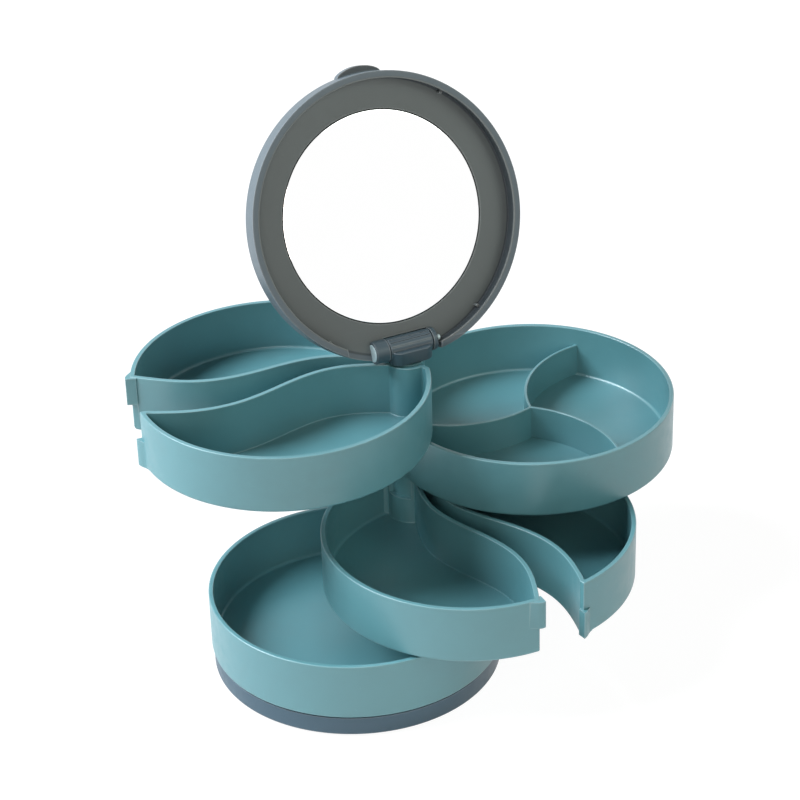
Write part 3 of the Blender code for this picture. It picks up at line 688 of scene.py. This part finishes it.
def sideOfSplit(side, inset, low, high):
    # a slab whose inner edge is drawn out step by step along the S line
    past, width = stack["past"], 2 * stack["trayRadius"]
    offset = side * (halfTray["splitGap"] / 2 + inset)
    front = -stack["trayRadius"] - past
    count = halfTray["splitSteps"]
    line = [splitPoint(front + (stack["postBack"] - front) * index / count, offset)
            for index in range(count + 1)]
    line.append(line[-1] + Vector((0, 4 * past, 0)))
    first = line[0]
    start = (first.x + side * width / 2, first.y - past / 2, low - past)
    bpy.ops.mesh.primitive_plane_add(size=1, location=start)
    slab = bpy.context.object
    slab.scale = (width, past, 1)
    placed(slab)
    bpy.ops.object.mode_set(mode="EDIT")
    bpy.ops.mesh.select_mode(type="EDGE")
    bpy.ops.mesh.select_all(action="DESELECT")
    bpy.ops.object.mode_set(mode="OBJECT")
    corners = slab.data.vertices
    for edge in slab.data.edges:
        edge.select = all(near(corners[index].co.y, first.y) for index in edge.vertices)
    bpy.ops.object.mode_set(mode="EDIT")
    for here, there in zip(line, line[1:]):
        bpy.ops.mesh.extrude_region_move(**moved(there - here))
    bpy.ops.mesh.select_all(action="SELECT")
    bpy.ops.mesh.extrude_region_move(**moved((0, 0, high - low + 2 * past)))
    allFacingOut()
    return slab


def halfBody(side, inset, low, high, endTurn, lowRound):
    # a disc cut along the S line, round the hubs and behind the wall's blunt end
    past = stack["past"]
    body = addRod("half", stack["trayRadius"] - inset, low, high, (0, -stack["postBack"]),
                  halfTray["arcSides"])
    bevelLevel(body, low, lowRound, steps["fillet"])
    combine(body, sideOfSplit(side, inset, low, high), "INTERSECT")
    keep = addRod("keep", halfTray["keepRadius"] + inset, low - past, high + past,
                  sides=roundness["head"])
    combine(body, keep, "DIFFERENCE")
    reach = 2 * stack["trayRadius"]
    behind = addBlock("behind", (-reach, 0, low - past), (reach, reach, high + past))
    behind.rotation_euler.z = math.radians(side * endTurn)
    combine(body, placed(behind), "DIFFERENCE")
    mergeClose(body, halfTray["corner"])
    pickSharpEdges(body, lambda start, end: min(start.z, end.z) < high - past,
                   halfTray["cornerDegrees"])
    bevelPicked(body, halfTray["corner"], steps["edge"])
    return body


def hubHalf(side, low, high):
    # a hub with a neck drawn out of its side, towards the half's own walls
    hub = addRod("hub", stack["hubRadius"], low, high)
    start, end = (math.radians(turn) for turn in halfTray["neckTurns"])

    def inNeck(centre, normal):
        return abs(normal.z) < 0.5 and start < math.atan2(normal.y, side * normal.x) < end
    pickFaces(hub, inNeck)
    bpy.ops.mesh.extrude_region_move(**moved((0, 0, 0)))
    grow = halfTray["neckRadius"] / stack["hubRadius"]
    bpy.ops.transform.resize(value=(grow, grow, 1), center_override=(0, 0, 0))
    bpy.ops.object.mode_set(mode="OBJECT")
    return hub


def hubWindow(side, low, high):
    # an opening swept round the post, through which the upper hub shows
    inner, outer = halfTray["keepRadius"], halfTray["windowRadius"]
    start, end = (math.radians(turn) for turn in halfTray["windowTurns"])
    bpy.ops.mesh.primitive_plane_add(size=1, location=((inner + outer) / 2, 0, (low + high) / 2),
                                     rotation=(math.radians(90), 0, 0))
    window = bpy.context.object
    window.scale = (outer - inner, high - low, 1)
    placed(window)
    window.rotation_euler.z = start if side > 0 else math.pi - start
    placed(window)
    bpy.ops.object.mode_set(mode="EDIT")
    bpy.ops.mesh.select_all(action="SELECT")
    bpy.ops.mesh.spin(steps=halfTray["windowSteps"], angle=side * (start - end), center=(0, 0, 0),
                      axis=(0, 0, 1))
    allFacingOut()
    return window


def cutOff(place, normal):
    # in edit mode: everything beyond a plane goes, and the cut is closed
    bpy.ops.mesh.select_all(action="SELECT")
    bpy.ops.mesh.bisect(plane_co=place, plane_no=normal, clear_outer=True, use_fill=True,
                        threshold=mending["cut"])


def rimBump(radius, look, span, low, high, depth):
    # a thumb bump: a slice of the rim's cylinder, with its outer corners drawn out to a smooth swell
    start, end = span
    centre = Vector((0, -stack["postBack"], 0))
    bump = addRod("bump", radius, low, high, centre.xy, look["rimSides"])
    bpy.ops.object.mode_set(mode="EDIT")
    cutOff((start, 0, 0), (-1, 0, 0))
    cutOff((end, 0, 0), (1, 0, 0))
    cutOff((0, centre.y - radius + depth, 0), (0, 1, 0))
    bpy.ops.object.mode_set(mode="OBJECT")

    def onRim(co):
        return near((co.xy - centre.xy).length, radius, 3 * mending["level"])

    for x in sorted({round(corner.co.x, 6) for corner in bump.data.vertices if onRim(corner.co)}):
        ease = math.cos(math.pi / 2 * min(1, abs(x) / look["halfWidth"])) ** look["power"]
        out = (look["proud"] + look["sink"]) * ease - look["sink"]
        pickCorners(bump, lambda co: near(co.x, x, mending["double"]) and onRim(co))
        away = Vector((x, -math.sqrt(radius ** 2 - x ** 2), 0)).normalized()
        bpy.ops.transform.translate(value=away * out)
        bpy.ops.object.mode_set(mode="OBJECT")
    return bump


def upperTab(low, front):
    # the left half's tab, whose tongue reaches over the right half's tip but not into the pocket
    width, tongue, depth = (fingerTab[key] for key in ("halfWidth", "tongue", "tongueDepth"))
    past, high = stack["past"], stack["trayHeight"]
    tab = rimBump(stack["trayRadius"], fingerTab, (-width, tongue), low,
                  high - fingerTab["drop"], depth)
    behind = addBlock("behind", (-width - past, front + fingerTab["rootDepth"], low - past),
                      (-tongue, front + depth + past, high + past))
    combine(tab, behind, "DIFFERENCE")
    return tab


def halfTrayMesh(side):
    height, past, gap = stack["trayHeight"], stack["past"], halfTray["seatGap"]
    tray = halfBody(side, 0, 0, height, halfTray["endTurn"], halfTray["baseRound"])
    pocket = halfBody(side, stack["wall"], stack["floor"], height + past, halfTray["pocketEndTurn"],
                      halfTray["floorRound"])
    combine(tray, pocket, "DIFFERENCE")
    mergeClose(tray, mending["hair"])
    middleHigh = (height + gap) / 2
    middleLow = (height - gap) / 2
    front = -stack["postBack"] - stack["trayRadius"]
    if side < 0:
        combine(tray, hubHalf(side, middleHigh, height + stack["hubStand"]), "UNION")
        combine(tray, hubWindow(side, middleHigh + halfTray["ledge"], height + past), "DIFFERENCE")
        tab = upperTab(middleHigh, front)
    else:
        combine(tray, hubHalf(side, -stack["hubStand"], middleLow), "UNION")
        tip = fingerTab["tongue"] + gap
        clear = addBlock("clear", (-tip, front - past, middleLow),
                         (tip, front + fingerTab["tongueDepth"] + past, height + past))
        combine(tray, clear, "DIFFERENCE")
        span = (halfTray["splitGap"] / 2, fingerTab["halfWidth"])
        tab = rimBump(stack["trayRadius"], fingerTab, span, fingerTab["drop"], middleLow,
                      fingerTab["rootDepth"])
    combine(tray, tab, "UNION")
    boreThrough(tray)
    bevelLevel(tray, height, halfTray["rimRound"], steps["edge"])
    return tray


# Each halved layer holds a left and a right half, turned about the post as in the photograph
halves = {
    "thirdTrayLeft": {"side": -1, "layer": 1, "turn": 51.9,
                      "body": "third_left", "node": "third_tray_left"},
    "thirdTrayRight": {"side": 1, "layer": 1, "turn": 61.3,
                       "body": "third_right", "node": "third_tray_right"},
    "topTrayLeft": {"side": -1, "layer": 3, "turn": -58.5,
                    "body": "top_left", "node": "top_tray_left"},
    "topTrayRight": {"side": 1, "layer": 3, "turn": -44.6,
                     "body": "top_right", "node": "top_tray_right"},
}


def addHalfTrays():
    # each side is modelled once, and its copies have meshes of their own
    made = {}
    for name, where in halves.items():
        side = where["side"]
        if side not in made:
            made[side] = halfTrayMesh(side)
        tray = bpy.data.objects.new(name, made[side].data.copy())
        bpy.context.scene.collection.objects.link(tray)
        onLayer(tray, where["layer"], where["turn"])
        tidied(tray, name, "tealPlastic", where["body"], where["node"])
    for master in made.values():
        bpy.data.objects.remove(master, do_unlink=True)


addHalfTrays()
print("half trays built")

# Whole round trays: the base tray and the second layer, about the post too
roundTray = {
    "rimRound": 0.0004,
    "baseRound": 0.0012,
    "floorRound": 0.0012,
}
divider = {
    "thick": 0.0011,
    "drop": 0.0068,
    "bend": 0.0424,
    "start": -3.0,
    "count": 3,
    "topRound": 0.00035,
    "steps": 36,
    "layer": 2,
    "layerTurn": 133.2,
}


def roundTrayMesh():
    height = stack["trayHeight"]
    centre = (0, -stack["postBack"])
    tray = addRod("roundTray", stack["trayRadius"], 0, height, centre, roundness["disc"])
    pickFaces(tray, lambda centre, normal: normal.z > mending["facing"])
    bpy.ops.mesh.inset(thickness=stack["wall"])
    bpy.ops.mesh.extrude_region_move(**moved((0, 0, stack["floor"] - height)))
    bpy.ops.object.mode_set(mode="OBJECT")
    bevelLevel(tray, 0, roundTray["baseRound"], steps["fillet"])
    bevelLevel(tray, height, roundTray["rimRound"], steps["edge"])
    bevelLevel(tray, stack["floor"], roundTray["floorRound"], steps["fillet"])
    return tray


def dividerMesh(turn):
    # a strip swept from the tray's centre to its wall
    low, high = stack["floor"] / 2, stack["trayHeight"] - divider["drop"]
    reach = stack["trayRadius"] - stack["wall"] / 2
    sweep = 2 * math.asin(reach / (2 * divider["bend"]))
    bpy.ops.mesh.primitive_plane_add(size=1, location=(0, 0, (low + high) / 2),
                                     rotation=(0, math.radians(90), 0))
    strip = bpy.context.object
    strip.scale = (high - low, divider["thick"], 1)
    placed(strip)
    bpy.ops.object.mode_set(mode="EDIT")
    bpy.ops.mesh.select_all(action="SELECT")
    bpy.ops.mesh.spin(steps=divider["steps"], angle=sweep, center=(0, -divider["bend"], 0),
                      axis=(0, 0, 1))
    allFacingOut()
    bevelLevel(strip, high, divider["topRound"], steps["edge"])
    strip.rotation_euler.z = math.radians(turn)
    placed(strip)
    strip.location.y = -stack["postBack"]
    return placed(strip)


def addRoundTrays():
    height, stand = stack["trayHeight"], stack["hubStand"]
    second = roundTrayMesh()
    base = bpy.data.objects.new("baseTray", second.data.copy())
    bpy.context.scene.collection.objects.link(base)
    for index in range(divider["count"]):
        combine(second, dividerMesh(divider["start"] + 360 * index / divider["count"]), "UNION")
    combine(second, addRod("hub", stack["hubRadius"], -stand, height + stand), "UNION")
    boreThrough(second)
    combine(base, addRod("hub", stack["hubRadius"], stack["floor"] / 2, height + stand), "UNION")
    boreThrough(base)
    onLayer(second, divider["layer"], divider["layerTurn"])
    onLayer(base, 0)
    tidied(second, "secondTray", "tealPlastic", "second", "second_tray")
    tidied(base, "baseTray", "tealPlastic", "base", "base_tray")


addRoundTrays()
print("round trays built")

# Slate cup under the base tray, with seats for pads and screws in its underside
baseCover = {
    "radius": 0.0518,
    "low": 0.0006,
    "high": 0.0078,
    "wall": 0.002,
    "floor": 0.0018,
    "edge": 0.0009,
    "padSeat": (0.0048, 0.0008),
    "padRing": 0.0435,
    "padTurns": (60, 120, 240, 300),
    "screwSeat": (0.0024, 0.001),
    "screwRing": 0.03,
    "screwTurns": (30, 150, 270),
    "postSeat": (0.0034, 0.002),
    "bossRadius": 0.0044,
    "bossDrop": 0.0003,
}


def addBaseCover():
    low, high, past = baseCover["low"], baseCover["high"], stack["past"]
    post = (0, stack["postBack"])
    cover = addRod("cover", baseCover["radius"], low, high, sides=roundness["disc"])
    pickFaces(cover, lambda centre, normal: normal.z > mending["facing"])
    bpy.ops.mesh.inset(thickness=baseCover["wall"])
    bpy.ops.mesh.extrude_region_move(**moved((0, 0, low + baseCover["floor"] - high)))
    bpy.ops.object.mode_set(mode="OBJECT")
    bevelLevel(cover, low, baseCover["edge"], steps["fillet"])
    bevelLevel(cover, high, stack["bareEdge"], steps["hairline"])
    seats = []
    for kind in ("pad", "screw"):
        ring = baseCover[kind + "Ring"]
        for turn in baseCover[kind + "Turns"]:
            angle = math.radians(turn)
            seats.append(((ring * math.cos(angle), ring * math.sin(angle)), *baseCover[kind + "Seat"]))
    seats.append((post, *baseCover["postSeat"]))
    boss = addRod("boss", baseCover["bossRadius"], low + baseCover["floor"] / 2,
                  high - baseCover["bossDrop"], post)
    combine(cover, boss, "UNION")
    sides = roundness["bore"]
    for place, radius, depth in seats:
        combine(cover, addRod("seat", radius, low - past, low + depth, place, sides), "DIFFERENCE")
    combine(cover, addRod("bore", stack["boreRadius"], low, high + past, post, sides), "DIFFERENCE")
    tidied(cover, "baseCover", "baseSlate", "base", "base_cover")


addBaseCover()
print("base cover built")

# Lid, about the hinge axis and as if closed: a plate with a rim, a lip, ears and a thumb tab
lid = {
    "radius": 0.0515,
    "low": -0.005,
    "high": 0.0036,
    "plate": 0.0009,
    "rim": 0.002,
    "lip": 0.0006,
    "lipHeight": 0.0014,
    "edgeRound": 0.0022,
    "plateRound": 0.00025,
    "pocketRadius": 0.0382,
    "pocketDepth": 0.00185,
    "turn": 52.0,
    "open": 110.0,
    "back": 0.008,
    "rimCut": (-0.02455, 0.01155),
    "rimCutFront": -0.0089,
    "slot": (-0.00835, 0.00895),
    "slotRadius": 0.00445,
    "earRadius": 0.0041,
    "ears": (-0.01355, 0.01075),
    "earEdge": 0.0004,
    "earDrop": 0.0001,
    "sweep": ((-0.0257, 0, -0.007), (0.0257, 0.007, 0)),
    "sweepRadius": 0.0049,
    "sweepReach": 0.03,
    "ribTurns": (53, 127, 233, 307),
    "rib": {"depth": 0.0014, "thick": 0.001, "tall": 0.0024, "root": 0.001, "edge": 0.0003},
    "pinEnds": (-0.01255, 0.0128),
    "pinRadius": 0.0011,
    "clear": 0.00001,
    "footInset": 0.00005,
}
lidTab = {
    "halfWidth": 0.0084,
    "proud": 0.0024,
    "sink": 0.0003,
    "rootDepth": 0.001,
    "power": 0.5,
    "rimSides": 720,
    "heights": (-0.0002, 0.0026),
}


def asOpened(piece):
    # from the closed lid's own place to where it stands open on its hinge
    place = Matrix.Translation((0, stack["postBack"], stack["axisHeight"]))
    turn = Matrix.Rotation(math.radians(lid["turn"]), 4, "Z")
    tilt = Matrix.Rotation(math.radians(-lid["open"]), 4, "X")
    piece.matrix_world = place @ turn @ tilt
    return placed(piece)


def lidDish():
    # from below: rim, lip, plate and the mirror's pocket, each drawn up from the one before
    centre = (0, -stack["postBack"], 0)
    dish = addRod("dish", lid["radius"], lid["low"], lid["high"], centre[:2], roundness["disc"])
    inner = lid["radius"] - lid["rim"]
    pickFaces(dish, lambda centre, normal: normal.z < -mending["facing"])
    bpy.ops.mesh.inset(thickness=lid["rim"] + lid["lip"])
    bpy.ops.mesh.extrude_region_move(**moved((0, 0, lid["lipHeight"] - lid["lip"])))
    bpy.ops.mesh.extrude_region_move(**moved((0, 0, lid["lip"])))
    grow = inner / (inner - lid["lip"])
    bpy.ops.transform.resize(value=(grow, grow, 1), center_override=centre)
    bpy.ops.mesh.extrude_region_move(**moved((0, 0, lid["plate"] - lid["low"] - lid["lipHeight"])))
    bpy.ops.mesh.inset(thickness=inner - lid["pocketRadius"])
    bpy.ops.mesh.extrude_region_move(**moved((0, 0, lid["pocketDepth"])))
    bpy.ops.object.mode_set(mode="OBJECT")
    bevelLevel(dish, lid["high"], lid["edgeRound"], steps["lid"])
    bevelLevel(dish, lid["low"], stack["bareEdge"], steps["hairline"])
    bevelLevel(dish, lid["plate"], lid["plateRound"], steps["hairline"])
    return dish


def earBar():
    # one bar round the hinge axis, later parted by the slot, with a foot that reaches into the plate
    radius, inset = lid["earRadius"], lid["earEdge"] + lid["footInset"]
    bar = addRodAlongX("ears", radius, *lid["ears"])
    pickSharpEdges(bar, lambda start, end: near(start.x, end.x))
    bevelPicked(bar, lid["earEdge"], steps["edge"])
    bpy.ops.object.mode_set(mode="EDIT")
    cutOff((0, 0, lid["high"] - lid["earDrop"]), (0, 0, 1))
    bpy.ops.object.mode_set(mode="OBJECT")
    foot = addBlock("foot", (lid["ears"][0] + inset, -radius + lid["clear"], 0),
                    (lid["ears"][1] - inset, 0, (lid["plate"] + lid["high"]) / 2))
    combine(bar, foot, "UNION")
    return bar


def barrelSlot():
    # the barrel's opening: round in front of and above the axis, open below and behind
    (start, end), radius, past = lid["slot"], lid["slotRadius"], stack["past"]
    slot = addBlock("slot", (start, 0, lid["low"] - past), (end, lid["back"], lid["high"] + past))
    front = addBlock("front", (start, -radius, lid["low"] - past), (end, past / 2, 0))
    combine(slot, front, "UNION")
    combine(slot, addRodAlongX("round", radius, start, end), "UNION")
    return slot


def addRib(shell, turn):
    # one of the short ribs inside the rim
    look, plate, inner = lid["rib"], lid["plate"], lid["radius"] - lid["rim"]
    tip, half = inner - look["depth"], look["thick"] / 2
    rib = addBlock("rib", (tip, -half, plate - look["tall"]),
                   (inner + look["depth"], half, plate + look["root"]))
    pickSharpEdges(rib, lambda start, end: near(start.x, tip) and near(end.x, tip))
    bevelPicked(rib, look["edge"], steps["edge"])
    rib.rotation_euler.z = math.radians(turn)
    placed(rib)
    rib.location.y = -stack["postBack"]
    combine(shell, placed(rib), "UNION")


def addLid():
    low, plate = lid["low"], lid["plate"]
    shell = lidDish()
    cutStart, cutEnd = lid["rimCut"]
    rimCut = addBlock("rimCut", (cutStart, lid["rimCutFront"], low - stack["past"]),
                      (cutEnd, lid["back"], plate + lid["clear"]))
    combine(shell, rimCut, "DIFFERENCE")
    sweep = addBlock("sweep", *lid["sweep"])
    reach = lid["sweepReach"]
    combine(sweep, addRodAlongX("round", lid["sweepRadius"], -reach, reach), "DIFFERENCE")
    combine(shell, sweep, "DIFFERENCE")
    combine(shell, earBar(), "UNION")
    combine(shell, barrelSlot(), "DIFFERENCE")
    pinHole = addRodAlongX("pinHole", lid["pinRadius"], *lid["pinEnds"], roundness["bore"])
    combine(shell, pinHole, "DIFFERENCE")
    tab = rimBump(lid["radius"], lidTab, (-lidTab["halfWidth"], lidTab["halfWidth"]),
                  *lidTab["heights"], lidTab["rootDepth"])
    combine(shell, tab, "UNION")
    for turn in lid["ribTurns"]:
        addRib(shell, turn)
    tidied(asOpened(shell), "lidShell", "lidSlate", "lid", "lid_shell")


addLid()
print("lid built")

# The round glass in the lid's pocket
mirror = {
    "radius": 0.0379,
    "face": 0.00105,
    "thick": 0.001,
    "edge": 0.0005,
}


def addMirror():
    face = mirror["face"]
    glass = addRod("glass", mirror["radius"], face, face + mirror["thick"],
                   (0, -stack["postBack"]), roundness["disc"])
    bevelLevel(glass, face, mirror["edge"], steps["hairline"])
    tidied(asOpened(glass), "mirrorDisc", "mirrorGlass", "lid", "mirror")


addMirror()
print("mirror built")

# The hinge's steel pin, with a flat head on the outside of the left ear; its pale bluish colour is
# partly a painted glint
hingePin = {
    "radius": 0.0011,
    "ends": (-0.0136, 0.0128),
    "headRadius": 0.0032,
    "head": (-0.0138, -0.0135),
    "edge": 0.0001,
}


def addHingePin():
    pin = addRodAlongX("pin", hingePin["radius"], *hingePin["ends"], roundness["pin"])
    head = addRodAlongX("head", hingePin["headRadius"], *hingePin["head"], roundness["head"])
    outer = hingePin["head"][0]
    pickSharpEdges(head, lambda start, end: near(start.x, outer) and near(end.x, start.x))
    bevelPicked(head, hingePin["edge"], steps["hairline"])
    combine(pin, head, "UNION")
    tidied(asOpened(pin), "hingePin", "pinMetalAndGlint", "lid", "hinge_pin")


addHingePin()
print("hinge pin built")

# Swivel block: a ribbed barrel on a bowed saddle, about the hinge axis
hinge = {
    "barrelRadius": 0.0041,
    "ends": (-0.008, 0.0086),
    "grooves": (100, 122, 145, 168),
    "grooveWidth": 8,
    "grooveInset": 0.0002,
    "grooveDepth": 0.00035,
    "saddle": ((-0.0078, -0.006, -0.0047), (0.0084, 0.0041, 0.0005)),
    "frontRound": 0.0036,
    "backRound": 0.0015,
    "saddleEdge": 0.0005,
    "pinHole": 0.00115,
    "postHole": (0.0021, -0.0067, -0.00165),
}


def addHingeBlock():
    start, end = hinge["ends"]
    barrel = addRodAlongX("barrel", hinge["barrelRadius"], start, end, roundness["barrel"])
    pickSharpEdges(barrel, lambda start, end: near(start.x, end.x))
    bevelPicked(barrel, stack["bareEdge"], steps["edge"])
    half = hinge["grooveWidth"] / 2

    def inGroove(centre, normal):
        around = math.degrees(math.atan2(normal.z, normal.y)) % 360
        sideways = abs(normal.x) < 1 - mending["facing"]
        return sideways and any(abs(around - place) < half for place in hinge["grooves"])
    pickFaces(barrel, inGroove)
    bpy.ops.mesh.inset(thickness=hinge["grooveInset"])
    bpy.ops.mesh.extrude_region_move(**moved((0, 0, 0)))
    shrink = 1 - hinge["grooveDepth"] / hinge["barrelRadius"]
    bpy.ops.transform.resize(value=(1, shrink, shrink), center_override=(0, 0, 0))
    bpy.ops.object.mode_set(mode="OBJECT")
    low, high = hinge["saddle"]
    saddle = addBlock("saddle", low, high)
    for front, width in ((True, hinge["frontRound"]), (False, hinge["backRound"])):
        pickSharpEdges(saddle, lambda start, end: near(start.x, end.x) and near(start.y, end.y)
                       and (start.y < 0) == front)
        bevelPicked(saddle, width, steps["saddle"])
    for level in (low[2], high[2]):
        bevelLevel(saddle, level, hinge["saddleEdge"], steps["edge"])
    combine(barrel, saddle, "UNION")
    sides = roundness["bore"]
    pinHole = addRodAlongX("pinHole", hinge["pinHole"], start - stack["past"] / 2,
                           end + stack["past"] / 2, sides)
    combine(barrel, pinHole, "DIFFERENCE")
    combine(barrel, addRod("postHole", *hinge["postHole"], sides=sides), "DIFFERENCE")
    barrel.location = (0, stack["postBack"], stack["axisHeight"])
    barrel.rotation_euler.z = math.radians(lid["turn"])
    tidied(placed(barrel), "hingeBlock", "hingeSlate", "swivel", "hinge_block")


addHingeBlock()
print("hinge block built")

addCamera()
addStudio()
scene = bpy.context.scene
scene.view_settings.view_transform = "Standard"
print("camera and lights placed")
